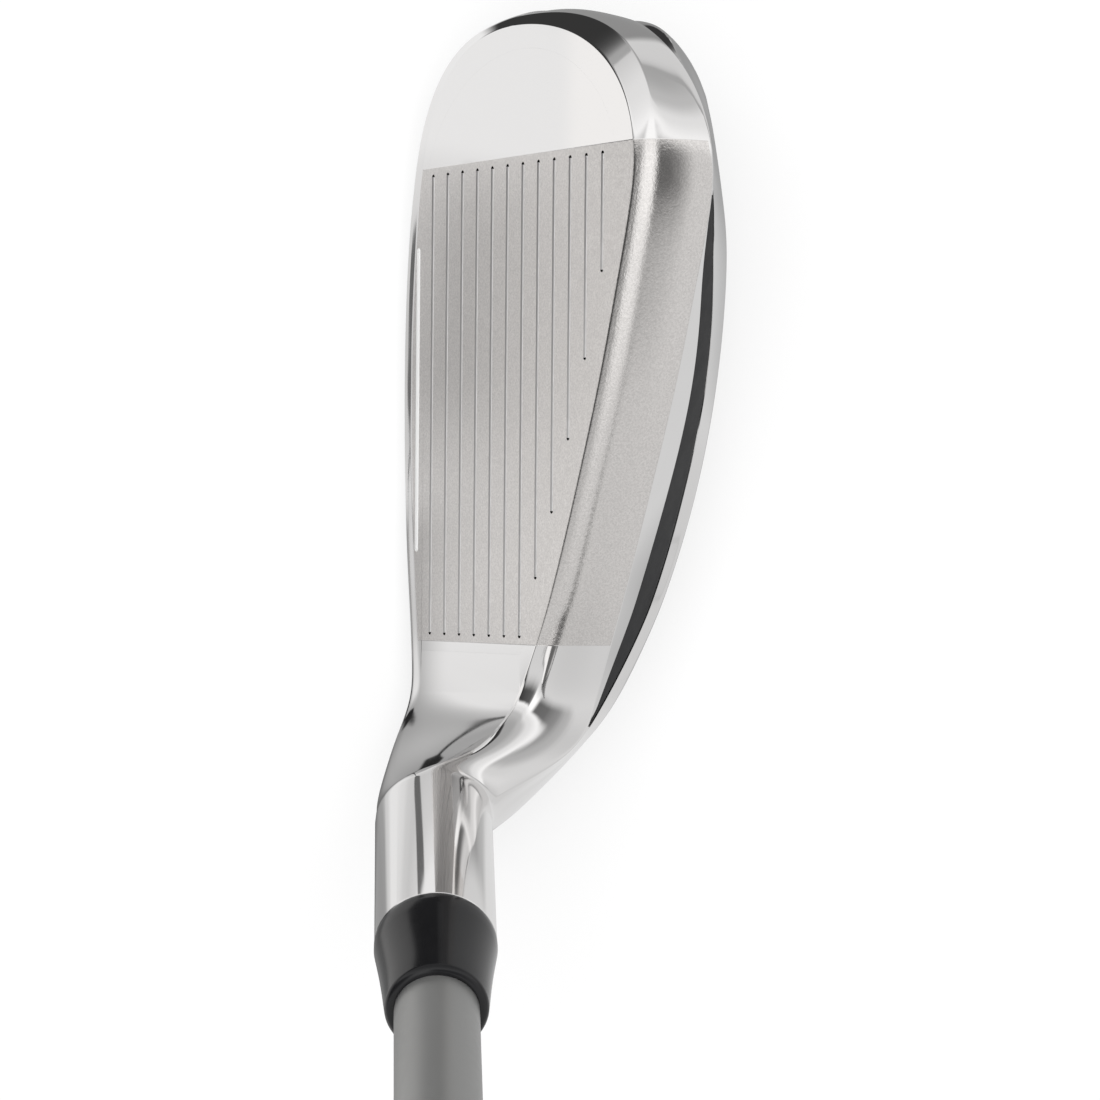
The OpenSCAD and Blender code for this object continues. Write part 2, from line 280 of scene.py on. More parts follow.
# how squarely each line turns round the toe
TOE_PULL = dict(
    U0=(0.66, 0.56), U1=(0.72, 0.66), UM=(0.66, 0.56), U2=(0.66, 0.66),
    L0=(0.7, 0.6), L1=(0.76, 0.68), L2=(0.7, 0.66),
)


def toe_line(k):
    """Four control points of the line from the toe's start to its end."""
    a, b = section(TOE_START), section(TOE_START - STEP)
    p0 = np.array([TOE_START, *a[k]])
    t0 = np.array([1.0, *((a[k] - b[k]) / STEP)])
    p3 = np.array(TOE_END[k], float)
    if k == "U5":
        return p0, p0 + t0 * 6.2, p3 - np.array([0.62, 0.72, 0.3]) * 4.2, p3
    # the lines in front arrive along the face, those behind arrive upright
    lean = ease((p3[1] + 22) / 12)
    rise = np.array([0, -SIN_L * lean, COS_L + (1 - COS_L) * (1 - lean)])
    rise /= np.linalg.norm(rise)
    if k[0] == "U":
        rise = -rise
    first, second = TOE_PULL.get(k, (0.55, 0.55))
    gap = p3 - p0
    p1 = p0 + t0 * gap[0] * first
    p2 = p3 - rise * abs(gap[2] / rise[2]) * second
    return p0, p1, p2, p3


TOE = {k: toe_line(k) for k in CORNERS}


def toe_point(k, t):
    p0, p1, p2, p3 = TOE[k]
    s = 1 - t
    return s**3 * p0 + 3 * s * s * t * p1 + 3 * s * t * t * p2 + t**3 * p3


# how far each corner is cut back before it is rounded, in body, bend and toe
SOFT = dict(
    L0=0.35, U0=0.22, U1=4.0, UM=50, U2=0.16, U3=0.03, U4=0.03, U5=0.7,
    B1=3.5, B2=50, S3=50, S2=50, S1=50, L2=50, L1=0.9,
)
BEND_SOFT = dict(L0=6.0, U0=3.0, U1=4.5, U2=2.0, U5=2.0, L1=4.0, B1=5.0)
TOE_SOFT = dict(U1=0.14, U2=5.0, U5=4.0, L1=0.5, L0=0.22, U3=0.02, U4=0.02)
# how far round the bend a corner starts to soften
BEND_FROM = dict(L0=0.0, L1=0.0, U0=0.45, U1=0.35, U2=0.5, U5=0.2, B1=0.2)


def softness(kind, t, k):
    s = SOFT[k]
    if kind == "bend" and k in BEND_SOFT:
        return s + (BEND_SOFT[k] - s) * ease((t - BEND_FROM[k]) / (1 - BEND_FROM[k]))
    if kind == "toe" and k in TOE_SOFT:
        return s + (TOE_SOFT[k] - s) * ease(t * 4)
    return s


def rounded(points, cuts):
    """A closed line through 3-D corners, each rounded by its own cut, and where every corner's middle is."""
    n, arc = len(points), 8
    length = [np.linalg.norm(points[(i + 1) % n] - points[i]) for i in range(n)]
    out, middle = [], []
    for i in range(n):
        p, a, b = points[i], points[i - 1], points[(i + 1) % n]
        la, lb = length[i - 1], length[i]
        # the crest's rounding may take nearly all of the narrow band in front of it
        room = 0.97 * la - min(cuts[i - 1], la * 0.49) if CORNERS[i] == "U1" else la * 0.49
        ca, cb = min(cuts[i], room), min(cuts[i], lb * 0.49)
        s = p + (a - p) * (ca / max(la, 1e-9))
        e = p + (b - p) * (cb / max(lb, 1e-9))
        middle.append(len(out) + arc // 2)
        for j in range(arc + 1):
            t = j / arc
            out.append((1 - t) ** 2 * s + 2 * t * (1 - t) * p + t * t * e)
    return np.array(out), middle


# (from corner, to corner, number of steps)
SPANS = (
    ("L0", "U0", 26), ("U0", "U1", 14), ("U1", "U2", 34), ("U2", "U3", 12), ("U3", "U4", 10),
    ("U4", "U5", 18), ("U5", "S3", 40), ("S3", "L1", 34), ("L1", "L0", 14),
)
# the span of every column of the head's grid, and the columns where the black strip lies
SPAN_OF = [start for start, _, count in SPANS for _ in range(count)]
COLUMNS = len(SPAN_OF)
STRIP = [j for j, start in enumerate(SPAN_OF) if start == "U3"]


def crowded(length, cut):
    """Places close to the end of a span that is rounded by a cut."""
    cut = min(cut, length * 0.3)
    return [cut * 0.4, cut * 0.75, cut * 1.02, min(cut * 1.25 + 0.02, length * 0.4) * 1.05]


def steps(length, c0, c1, count):
    """Places along a span, packed close together where its ends are rounded."""
    a = [0] + crowded(length, c0)
    b = [length - d for d in crowded(length, c1)[::-1]]
    m = count - len(a) - len(b)
    return a + [a[-1] + (b[0] - a[-1]) * (i + 1) / (m + 1) for i in range(m)] + b


def loop(kind, t, corners):
    """The points of one section, and for each of them its angle round the hosel."""
    line, middle = rounded([corners[k] for k in CORNERS], [softness(kind, t, k) for k in CORNERS])
    at = dict(zip(CORNERS, middle))
    out, turn = [], []
    for a, b, count in SPANS:
        i, j = at[a], at[b]
        if j <= i:
            j += len(line)
        piece = line[[q % len(line) for q in range(i, j + 1)]]
        run = np.concatenate([[0], np.cumsum(np.linalg.norm(np.diff(piece, axis=0), axis=1))])
        length = run[-1]
        if a == "U3":
            places = [length * q / count for q in range(count)]
        else:
            places = steps(length, softness(kind, t, a), softness(kind, t, b), count)
        ta, tb = TURN[a], TURN[b]
        if tb <= ta:
            tb += 360
        for s in places:
            out.append([np.interp(s, run, piece[:, c]) for c in range(3)])
            turn.append(ta + (tb - ta) * s / max(length, 1e-9))
    return np.array(out), np.array(turn)


def hosel_ring(s, turn):
    """The round hosel at a distance from the ground, with its points at the given turns in radians."""
    ring = SHAFT_DIR * s + np.outer(HOSEL_R * np.sin(turn), SHAFT_SIDE)
    ring[:, 1] += HOSEL_R * np.cos(turn)
    return ring


# number of sections in each stretch
NECK_ROWS, BEND_ROWS, BODY_ROWS, TOE_ROWS = 24, 60, 110, 56
BODY_FROM = NECK_ROWS + BEND_ROWS + 1


def stations():
    """Every section from the hosel's top to the end of the toe, as (kind, place, loop of points)."""
    bend = []
    for i in range(BEND_ROWS + 1):
        t = 1 - i / BEND_ROWS
        a = LIE * t
        points, turn = loop("bend", t, {k: bend_point(k, a) for k in CORNERS})
        th = np.radians(turn)
        if i == 0:
            neck_turn = th
        # towards the hosel the section gives way to a circle
        r = AXIS_GAP - HOSEL_R * np.sin(th)
        ring = np.stack([BEND_X - r * math.sin(a), HOSEL_R * np.cos(th), BEND_Z - r * math.cos(a)], 1)
        w = ease((t - 0.55) / 0.45)
        bend.append(("bend", t, points * (1 - w) + ring * w))
    foot = BEND_X * SHAFT_DIR[0] + BEND_Z * SHAFT_DIR[2]
    rows = []
    for i in range(NECK_ROWS):
        s = HOSEL_TOP + (foot - HOSEL_TOP) * i / NECK_ROWS
        rows.append(("hosel", s, hosel_ring(s, neck_turn)))
    rows += bend
    for i in range(1, BODY_ROWS + 1):
        x = BEND_X + (TOE_START - BEND_X) * i / BODY_ROWS
        rows.append(("body", x, loop("body", x, {k: np.array([x, *p]) for k, p in section(x).items()})[0]))
    for i in range(1, TOE_ROWS + 1):
        t = i / TOE_ROWS
        rows.append(("toe", t, loop("toe", t, {k: toe_point(k, t) for k in CORNERS})[0]))
    return rows


def smooth_along(grid, passes):
    """Evens out the lines between the bend and the body; passes says how much for every column."""
    first, last = 30, BODY_FROM + 20
    strength = np.array([0.9 * ease((i - first) / 20) * ease((last - i) / 16) for i in range(first, last)])
    for n in range(int(max(passes))):
        part = grid[first:last]
        mid = (grid[first - 1 : last - 1] + 2 * part + grid[first + 1 : last + 1]) / 4
        part += strength[:, None, None] * (passes > n)[None, :, None] * (mid - part)


def fill_toe(grid, rows):
    """Swells the back wall where it turns in to the toe, so that it stays convex there."""
    wall = [j for j, s in enumerate(SPAN_OF) if s in ("U3", "U4")]
    out = np.array([0.62, -0.70, 0.35]) * 1.5
    swell = np.sin(np.linspace(0, 1, len(wall)) ** 1.4 * math.pi)[:, None]
    for ring, (kind, t, _) in zip(grid, rows):
        if kind == "toe":
            ring[wall] += out * swell * ease((t - 0.3) / 0.4) * ease((1 - t) / 0.32)


def soften_toe(grid, turn):
    """Rounds off the back of the toe, where the upper lines fold over into the lower ones."""
    reach, deep = 36, 26
    side = np.arange(-reach, reach + 1)
    near = np.array([0.5 * ease(1 - abs(i) / reach) for i in side])[:, None]
    columns, mirror = (turn + side) % COLUMNS, (turn - side) % COLUMNS
    for _ in range(140):
        for back in range(2, deep):
            row = grid[-back]
            across = (row[columns - 1] + row[(columns + 1) % COLUMNS]) / 2
            along = (grid[-back - 1][columns] + grid[-back + 1][columns]) / 2
            share = near * ease((deep - back) / (deep - 2))
            row[columns] += share * ((across + along) / 2 - row[columns])
        last = grid[-1]
        inner = (grid[-2][columns] + grid[-2][mirror]) / 2
        sides = (last[columns - 1] + last[(columns + 1) % COLUMNS]) / 2
        new = last[columns] + near * ((inner + sides) / 2 - last[columns])
        last[columns] = (new + new[::-1]) / 2


def head_grid():
    """The head's outside as rows of points; the columns run from the foot of the face over the back."""
    rows = stations()
    grid = np.array([points for _, _, points in rows])
    light, full = 24, 150
    passes = np.array([light if s in ("L0", "L1", "S3") else full for s in SPAN_OF], float)
    edge = [j for j, s in enumerate(SPAN_OF) if s == "U0"]
    passes[edge] = np.linspace(light, full, len(edge))
    smooth_along(grid, passes)
    # at the end of the toe the lower lines meet the upper ones
    start_u0, end_u5 = SPAN_OF.index("U0"), SPAN_OF.index("U5")
    last = grid[-1]
    for i in range(end_u5 - start_u0 + 1):
        last[(end_u5 + i) % COLUMNS] = last[end_u5 - i]
    last[1:start_u0] = last[start_u0]
    fill_toe(grid, rows)
    soften_toe(grid, end_u5)
    return rows, grid


HEAD_ROWS, HEAD_GRID = head_grid()


# -------- meshes

def make_object(name, verts, faces, materials, sharp, zone=None):
    """A smooth-shaded mesh object from points in millimetres; edges steeper than sharp stay crisp."""
    mesh = bpy.data.meshes.new(name)
    mesh.from_pydata([tuple(c * MM for c in v) for v in verts], [], faces)
    for m in materials:
        mesh.materials.append(m)
    if zone is not None:
        mesh.polygons.foreach_set("material_index", zone)
    bm = bmesh.new()
    bm.from_mesh(mesh)
    bmesh.ops.remove_doubles(bm, verts=bm.verts, dist=1e-7)
    bmesh.ops.dissolve_degenerate(bm, dist=1e-8, edges=bm.edges)
    bmesh.ops.recalc_face_normals(bm, faces=bm.faces)
    bm.to_mesh(mesh)
    bm.free()
    mesh.polygons.foreach_set("use_smooth", [True] * len(mesh.polygons))
    mesh.set_sharp_from_angle(angle=math.radians(sharp))
    mesh.update()
    obj = bpy.data.objects.new(name, mesh)
    bpy.context.scene.collection.objects.link(obj)
    return obj


def on_face(u, v, depth=0.0):
    """A point of the face plane, u from the shaft's axis, v up the face, sunk by depth."""
    return (u, FACE_AHEAD - v * SIN_L - depth * COS_L, v * COS_L - depth * SIN_L)


def fill(loops):
    """Triangles that fill a flat outline round its holes, as indices into the joined loops."""
    return [tuple(t) for t in tessellate_polygon([[Vector((a, b, 0)) for a, b in l] for l in loops])]


# -------- head shell

PLATE_HEEL, PLATE_TOE, PLATE_LOW, PLATE_T, FRAME_W = 3.5, 75.0, 7.72, 2.6, 3.0
GROOVE_COUNT, GROOVE_LOW, GROOVE_PITCH = 12, 9.72, 3.54
GROOVE_HEEL, GROOVE_TOE, GROOVE_W = 5.75, 61.3, 0.62
# cross-section of a scored line: (share of its half width, depth)
GROOVE_STEPS = ((0.93, 0.06), (0.78, 0.17), (0.56, 0.27), (0.30, 0.325), (0.1, 0.34))
# the painted line: height up the face, heel end, toe end, width and depth of its slot
LINE_V, LINE_FROM, LINE_TO, LINE_W, LINE_DEEP = 6.18, 16.0, 52.4, 0.9, 0.25


def plate_outline(inset=0.0):
    """Outline of the face plate: along the top edge, round the toe as half an oval, and back."""
    heel, toe, low = PLATE_HEEL + inset, PLATE_TOE - inset, PLATE_LOW + inset
    top_steps, toe_steps, low_steps = 40, 48, 29
    along = [heel + (TOE_START - heel) * i / top_steps for i in range(top_steps + 1)]
    pts = [(x, TOP_V(x) - FRAME_W - inset) for x in along]
    up = pts[-1][1]
    mid, half = (up + low) / 2, (up - low) / 2
    for i in range(1, toe_steps):
        t = math.pi * i / toe_steps
        pts.append((TOE_START + (toe - TOE_START) * math.sin(t), mid + half * math.cos(t)))
    pts += [(TOE_START + (heel - TOE_START) * i / low_steps, low) for i in range(low_steps + 1)]
    return pts


def stadium(x0, x1, v, r):
    """Outline of a round-ended slot."""
    turns = [math.pi * i / 8 for i in range(9)]
    toe = [(x1 + r * math.sin(a), v + r * math.cos(a)) for a in turns]
    return toe + [(x0 - r * math.sin(a), v - r * math.cos(a)) for a in turns]


def add_wall(verts, faces, top, depths):
    """Rings that go down from a hole's edge, and a floor: depths is a list of (outline, depth)."""
    prev = top
    for ring, depth in depths:
        cur = list(range(len(verts), len(verts) + len(ring)))
        verts.extend(on_face(u, v, depth) for u, v in ring)
        for i in range(len(cur)):
            j = (i + 1) % len(cur)
            faces.append((prev[i], prev[j], cur[j], cur[i]))
        prev = cur
    faces.extend(tuple(prev[i] for i in t) for t in fill([depths[-1][0]]))


def add_loops(verts, loops):
    """Adds outlines on the face plane and says which points they are."""
    start = len(verts)
    verts.extend(on_face(u, v) for l in loops for u, v in l)
    return list(range(start, len(verts)))


PANEL_DEEP = 1.1


def seat_depth(row):
    """Depth of the panel's seat at a station: full along the strip, nothing at its two tips."""
    kind, t, _ = row
    if kind == "body":
        return PANEL_DEEP * ease((57.2 - t) / 5.0)
    if kind == "bend":
        return PANEL_DEEP * ease((16.0 - math.degrees(LIE) * t) / 14.0)
    return 0.0


def panel_seat(row, ring):
    """The seat at a station: its upper edge, the way across, inwards, and its depth; or nothing."""
    deep = seat_depth(row)
    if deep <= 0:
        return None
    edge = ring[STRIP[0]]
    along = ring[STRIP[-1] + 1] - edge
    inward = np.cross(along, (1.0, 0, 0))
    inward *= math.copysign(1, inward[1]) / np.linalg.norm(inward)
    return edge, along, inward, min(deep, np.linalg.norm(along) * 0.8)


def sink_seat(verts):
    """Sinks the columns between the strip's two edges."""
    shares = np.linspace(0.004, 0.996, len(STRIP) - 1)
    for i, (row, ring) in enumerate(zip(HEAD_ROWS, HEAD_GRID)):
        seat = panel_seat(row, ring)
        if seat:
            edge, along, inward, deep = seat
            for j, share in zip(STRIP[1:], shares):
                verts[i * COLUMNS + j] = tuple(edge + along * share + inward * deep)


def add_face_flat(verts, faces, zone, border):
    """Fills the flat of the face inside its border, with openings for the plate and the painted line."""
    flat = [(verts[i][0], (FACE_AHEAD - verts[i][1]) * SIN_L + verts[i][2] * COS_L) for i in border]
    # drop repeats at the toe, where the two edges meet
    keep = [q for q in range(len(border)) if q == 0 or math.dist(flat[q], flat[q - 1]) > 1e-5]
    border, flat = [border[q] for q in keep], [flat[q] for q in keep]
    holes = [plate_outline(), stadium(LINE_FROM, LINE_TO, LINE_V, LINE_W / 2)]
    index = border + add_loops(verts, holes)
    faces.extend(tuple(index[i] for i in t) for t in fill([flat] + holes))
    zone.extend([0] * (len(faces) - len(zone)))
    at = len(border)
    for hole, deep in zip(holes, (PLATE_T, LINE_DEEP)):
        add_wall(verts, faces, index[at : at + len(hole)], [(hole, deep)])
        at += len(hole)
    zone.extend([1] * (len(faces) - len(zone)))


def add_hosel_mouth(verts, faces, zone):
    """A small bevel, the rim and the bore that the shaft goes into."""
    turn = [math.atan2(p @ SHAFT_SIDE, p[1]) for p in (HEAD_GRID[0] - SHAFT_DIR * HOSEL_TOP)]
    bevel = 0.05
    rim = HOSEL_TOP + bevel
    prev = list(range(COLUMNS))
    for r, s in ((HOSEL_R - bevel, rim), (BORE_R, rim), (BORE_R, HOSEL_TOP - BORE_DEEP)):
        cur = list(range(len(verts), len(verts) + COLUMNS))
        verts.extend(turned_point(r, s, a) for a in turn)
        for j in range(COLUMNS):
            k = (j + 1) % COLUMNS
            faces.append((prev[k], prev[j], cur[j], cur[k]))
        prev = cur
    faces.append(tuple(prev))
    zone.extend([1] * (len(faces) - len(zone)))


def head_shell(*materials):
    """The body with its hosel; its zones are the face, polished steel, and the satin band and top line."""
    verts = [tuple(p) for p in HEAD_GRID.reshape(-1, 3)]
    faces, zone = [], []
    count, body = len(HEAD_GRID), BODY_FROM - 1
    # the flat of the face lies between these two columns
    low, high = 4, SPAN_OF.index("U0") - 4
    for i in range(count - 1):
        for j in range(COLUMNS):
            if i >= body and low <= j < high:
                continue
            k = (j + 1) % COLUMNS
            faces.append((i * COLUMNS + j, i * COLUMNS + k, (i + 1) * COLUMNS + k, (i + 1) * COLUMNS + j))
            zone.append({"L0": 0, "U0": 2, "U1": 2}.get(SPAN_OF[j], 1))
    sink_seat(verts)
    foot = [i * COLUMNS + low for i in range(body, count)]
    top = [i * COLUMNS + high for i in range(body, count)]
    heel = [body * COLUMNS + j for j in range(low + 1, high)]
    add_face_flat(verts, faces, zone, foot + top[::-1][1:] + heel[::-1])
    add_hosel_mouth(verts, faces, zone)
    return make_object("head_shell", verts, faces, materials, 30, zone)


def crown_panel(material):
    """The black strip: it fills its seat a little below flush, with soft edges and a slightly full top."""
    rings = []
    for row, ring in zip(HEAD_ROWS, HEAD_GRID):
        seat = panel_seat(row, ring)
        if not seat or seat_depth(row) < 0.02:
            continue
        edge, along, inward, deep = seat
        width = np.linalg.norm(along)
        if width < 0.35:
            continue
        gap, soft, sink = 0.05 / width, 0.16 / width, 0.10
        side = [(gap, deep * 0.9), (gap, sink + 0.12), (gap + soft * 0.3, sink + 0.035), (gap + soft, sink)]
        top = []
        for q in range(1, 8):
            t = gap + soft + (1 - 2 * (gap + soft)) * q / 8
            top.append((t, sink - 0.04 * math.sin(math.pi * q / 8)))
        outline = side + top + [(1 - share, d) for share, d in side[::-1]]
        ends = (0, len(outline) - 1)
        depths = [d if q in ends else min(d, deep * 0.8) for q, (_, d) in enumerate(outline)]
        rings.append([edge + along * share + inward * d for (share, _), d in zip(outline, depths)])
    verts = [tuple(p) for r in rings for p in r]
    m = len(rings[0])
    faces = [
        (i * m + j, i * m + (j + 1) % m, (i + 1) * m + (j + 1) % m, (i + 1) * m + j)
        for i in range(len(rings) - 1)
        for j in range(m)
    ]
    faces.append(tuple(range(m)))
    faces.append(tuple((len(rings) - 1) * m + j for j in range(m)))
    return make_object("crown_strip", verts, faces, (material,), 40)


# -------- face plate

def groove_spans():
    """(heel end, toe end, height up the face) of every scored line; the upper ones start nearer the toe."""
    out = []
    for i in range(GROOVE_COUNT):
        k = max(i - 6, 0)
        out.append((GROOVE_HEEL + 6.6 * k + 0.37 * k * k, GROOVE_TOE, GROOVE_LOW + GROOVE_PITCH * i))
    return out


def groove_painted_light_zone(points, heel, toe, v):
    """1 for a scored line's lower wall and floor, which get the lit tone; 2 for its upper wall, painted
    shade; 3 for its ends, painted shadow.
    """
    x, y, z = np.mean(points, axis=0)
    if x < heel + 0.1 or x > toe - 0.1:
        return 3
    rise = z * COS_L + (FACE_AHEAD - y) * SIN_L - v
    return 2 if rise > 0.04 else 1


def face_insert(*materials):
    """The face plate with its scored lines."""
    verts, faces = [], []
    outline = plate_outline(0.004)
    lines = [(a, b, v, stadium(a, b, v, GROOVE_W / 2)) for a, b, v in groove_spans()]
    loops = [outline] + [line[3] for line in lines]
    index = add_loops(verts, loops)
    faces.extend(tuple(index[i] for i in t) for t in fill(loops))
    zone = [0] * len(faces)
    at = len(outline)
    for a, b, v, l in lines:
        wall = [(stadium(a, b, v, GROOVE_W / 2 * w), d) for w, d in GROOVE_STEPS]
        add_wall(verts, faces, index[at : at + len(l)], wall)
        at += len(l)
        zone.extend(groove_painted_light_zone([verts[i] for i in f], a, b, v) for f in faces[len(zone) :])
    add_wall(verts, faces, index[: len(outline)], [(outline, PLATE_T - 0.02)])
    zone.extend([0] * (len(faces) - len(zone)))
    return make_object("face_insert", verts, faces, materials, 42, zone)


def painted_line(material):
    """White paint in the slot below the scored lines, a little proud of the face."""
    outlines = []
    for w, d in ((0.985, LINE_DEEP - 0.01), (0.985, 0.03), (0.93, 0.004), (0.8, -0.012)):
        outlines.append((stadium(LINE_FROM, LINE_TO, LINE_V, LINE_W / 2 * w), d))
    floor, depth = outlines[0]
    verts = [on_face(u, v, depth) for u, v in floor]
    faces = fill([floor])
    add_wall(verts, faces, list(range(len(floor))), outlines[1:])
    return make_object("face_line_paint", verts, faces, (material,), 60)


# -------- turned pieces

def turned_point(r, s, a):
    """A point at a radius from the shaft's axis, a distance from the ground and a turn round it."""
    p = SHAFT_DIR * s + SHAFT_SIDE * (r * math.sin(a))
    return (p[0], p[1] + r * math.cos(a), p[2])


def lathe(name, profile, material, segments, sharp, wobble=None):
    """A piece turned round the shaft: profile is a closed line of (radius, distance from the ground)."""
    verts, faces = [], []
    for i, (r, s) in enumerate(profile):
        for j in range(segments):
            a = 2 * math.pi * j / segments
            verts.append(turned_point(r + (wobble(i, s, a) if wobble else 0.0), s, a))
    for i in range(len(profile)):
        k = (i + 1) % len(profile)
        for j in range(segments):
            q = (j + 1) % segments
            faces.append((i * segments + j, i * segments + q, k * segments + q, k * segments + j))
    return make_object(name, verts, faces, (material,), sharp)


CLUB_LENGTH, GRIP_LENGTH = 952.5, 267.0
TIP_R, TIP_BORE_R, BUTT_R, BUTT_WALL = 4.7, 2.35, 7.62, 1.2
MOUTH_R, GRIP_BUTT_R = 8.4, 13.0
CAP_R, CAP_T, VENT_R = 15.2, 4.5, 1.6
FERRULE_BORE_R, FERRULE_END_R = 4.74, 5.75
# distances from the ground along the shaft
SHAFT_FOOT = HOSEL_TOP - 28 + 0.5
SHAFT_HEAD = CLUB_LENGTH - CAP_T
TAPER_FOOT = SHAFT_FOOT + 115
GRIP_FOOT = CLUB_LENGTH - GRIP_LENGTH
FERRULE_TOP = HOSEL_TOP + 13.5
# plain bands between the grip's moulded fields, as shares of its length
BANDS = (0.18, 0.36, 0.54, 0.72, 0.88)
# gap between the shaft and the grip's bore, filled by the tape
TAPE_GAP = 0.17


def shaft_r(s):
    if s <= TAPER_FOOT:
        return TIP_R
    return TIP_R + (BUTT_R - TIP_R) * (s - TAPER_FOOT) / (SHAFT_HEAD - TAPER_FOOT)


def quarter(r, s, radius, count):
    """A quarter of a circle from pointing outwards to pointing up the shaft."""
    turns = [math.pi / 2 * i / count for i in range(count + 1)]
    return [(r + radius * math.cos(a), s + radius * math.sin(a)) for a in turns]


def ferrule(material):
    lip = 0.85
    out = [(FERRULE_BORE_R, HOSEL_TOP + 0.06)]
    for grow, rise in ((-0.12, 0.06), (-0.02, 0.14), (0.04, 0.4), (0.05, 1.2)):
        out.append((HOSEL_R + grow, HOSEL_TOP + rise))
    r, s = out[-1]
    for i in range(1, 9):
        t = i / 9
        hollow = 0.10 * math.sin(math.pi * t)
        out.append((r + (FERRULE_END_R + 0.02 - r) * t - hollow, s + (FERRULE_TOP - lip - s) * t))
    out += quarter(FERRULE_END_R - lip, FERRULE_TOP - lip, lip, 8)
    out.append((FERRULE_BORE_R, FERRULE_TOP))
    return lathe("ferrule_ring", out, material, 128, 50)


def shaft_tube(material):
    out = [(TIP_BORE_R, SHAFT_FOOT), (TIP_R - 0.4, SHAFT_FOOT), (TIP_R, SHAFT_FOOT + 0.6)]
    s = SHAFT_FOOT + 10
    while s < SHAFT_HEAD - 6:
        out.append((shaft_r(s), s))
        s += 12
    out.append((shaft_r(SHAFT_HEAD - 1), SHAFT_HEAD - 1))
    out += [(BUTT_R - 0.25, SHAFT_HEAD - 0.02), (BUTT_R - BUTT_WALL, SHAFT_HEAD - 0.02)]
    return lathe("shaft_tube", out, material, 96, 30)


# outer radius of the grip along its length: a slim mouth, then a gentle swelling to the butt
GRIP_R = Spline([(0, MOUTH_R), (0.05, 8.45), (0.3, 9.9), (0.6, 11.3), (0.85, 12.35), (1, GRIP_BUTT_R)])


def grip_share(s):
    return (s - GRIP_FOOT) / (SHAFT_HEAD - GRIP_FOOT)


def grip_pattern(s, a):
    """Depth of the moulded texture: slanting lozenges between plain bands with a line on each side."""
    foot, head = GRIP_FOOT + 9, SHAFT_HEAD - 4
    if s < foot or s > head:
        return 0.0
    edge = ease((s - foot) / 3) * ease((head - s) / 3)
    field, ring = 1.0, 0.0
    for c in BANDS:
        off = abs(grip_share(s) - c)
        field *= ease((off - 0.008) / 0.006)
        ring = max(ring, 1 - ease(abs(off - 0.006) * (SHAFT_HEAD - GRIP_FOOT) / 0.5))
    starts, slant = 26, 1.15
    lines = max(math.cos(starts * a + s * slant), math.cos(starts * a - s * slant))
    return -0.22 * edge * ease((lines - 0.72) / 0.2) * field - 0.3 * ring


def grip(material):
    out = [(shaft_r(GRIP_FOOT) + TAPE_GAP, GRIP_FOOT)]
    out += [(MOUTH_R - 0.4, GRIP_FOOT), (MOUTH_R - 0.15, GRIP_FOOT + 0.12), (MOUTH_R, GRIP_FOOT + 0.5)]
    s = GRIP_FOOT + 1.0
    while s < SHAFT_HEAD - 0.5:
        out.append((GRIP_R(grip_share(s)), s))
        s += 0.7
    out += [(GRIP_BUTT_R, SHAFT_HEAD - 0.02), (BUTT_R + TAPE_GAP, SHAFT_HEAD - 0.02)]
    skip = {0, 1, 2, 3, len(out) - 1, len(out) - 2}
    return lathe(
        "grip_rubber_sleeve", out, material, 208, 60, lambda i, s, a: 0.0 if i in skip else grip_pattern(s, a)
    )


def cap(material):
    r, s, soft = CAP_R, SHAFT_HEAD, 1.9
    top = s + CAP_T
    out = [(VENT_R, s), (r - 1.2, s), (r - 0.35, s + 0.25), (r, s + 0.9), (r, s + 2.6)]
    out += quarter(r - soft, top - soft, soft, 10)[1:]
    # a thin ring groove, then a bevel into the vent hole
    out += [(9.2, top), (9.0, top - 0.35), (8.2, top - 0.35), (8.0, top)]
    out += [(VENT_R + 0.3, top), (VENT_R, top - 0.3)]
    return lathe("grip_end_cap", out, material, 128, 35)


# -------- materials

def tree_of(name, metal=1.0):
    """A new material with its node tree and its Principled shader."""
    m = bpy.data.materials.new(name)
    m.use_nodes = True
    b = m.node_tree.nodes["Principled BSDF"]
    b.inputs["Metallic"].default_value = metal
    return m, m.node_tree, b


def dress(t, b, color, rough):
    t.links.new(color, b.inputs["Base Color"])
    t.links.new(rough, b.inputs["Roughness"])


def plug(t, value, socket):
    """Links a socket, or sets a plain number or colour."""
    if isinstance(value, tuple):
        socket.default_value = (*value, 1)
    elif isinstance(value, (int, float)):
        socket.default_value = value
    else:
        t.links.new(value, socket)


def math_node(t, op, a, b=0.0):
    n = t.nodes.new("ShaderNodeMath")
    n.operation = op
    plug(t, a, n.inputs[0])
    plug(t, b, n.inputs[1])
    return n.outputs[0]


def product(t, a, b):
    return math_node(t, "MULTIPLY", a, b)


def map_range(t, value, a, b, c=0.0, d=1.0, smooth=True):
    n = t.nodes.new("ShaderNodeMapRange")
    n.interpolation_type = "SMOOTHSTEP" if smooth else "LINEAR"
    for k, v in (("Value", value), ("From Min", a), ("From Max", b), ("To Min", c), ("To Max", d)):
        plug(t, v, n.inputs[k])
    return n.outputs["Result"]


def separate(t, vec):
    n = t.nodes.new("ShaderNodeSeparateXYZ")
    t.links.new(vec, n.inputs[0])
    return n.outputs


def object_coords(t):
    return t.nodes.new("ShaderNodeTexCoord").outputs["Object"]


def seen_by_camera(t):
    return t.nodes.new("ShaderNodeLightPath").outputs["Is Camera Ray"]


def noise(t, vec, scale, detail=2.0, rough=0.5):
    n = t.nodes.new("ShaderNodeTexNoise")
    for k, v in (("Vector", vec), ("Scale", scale), ("Detail", detail), ("Roughness", rough)):
        plug(t, v, n.inputs[k])
    return n.outputs["Fac"]


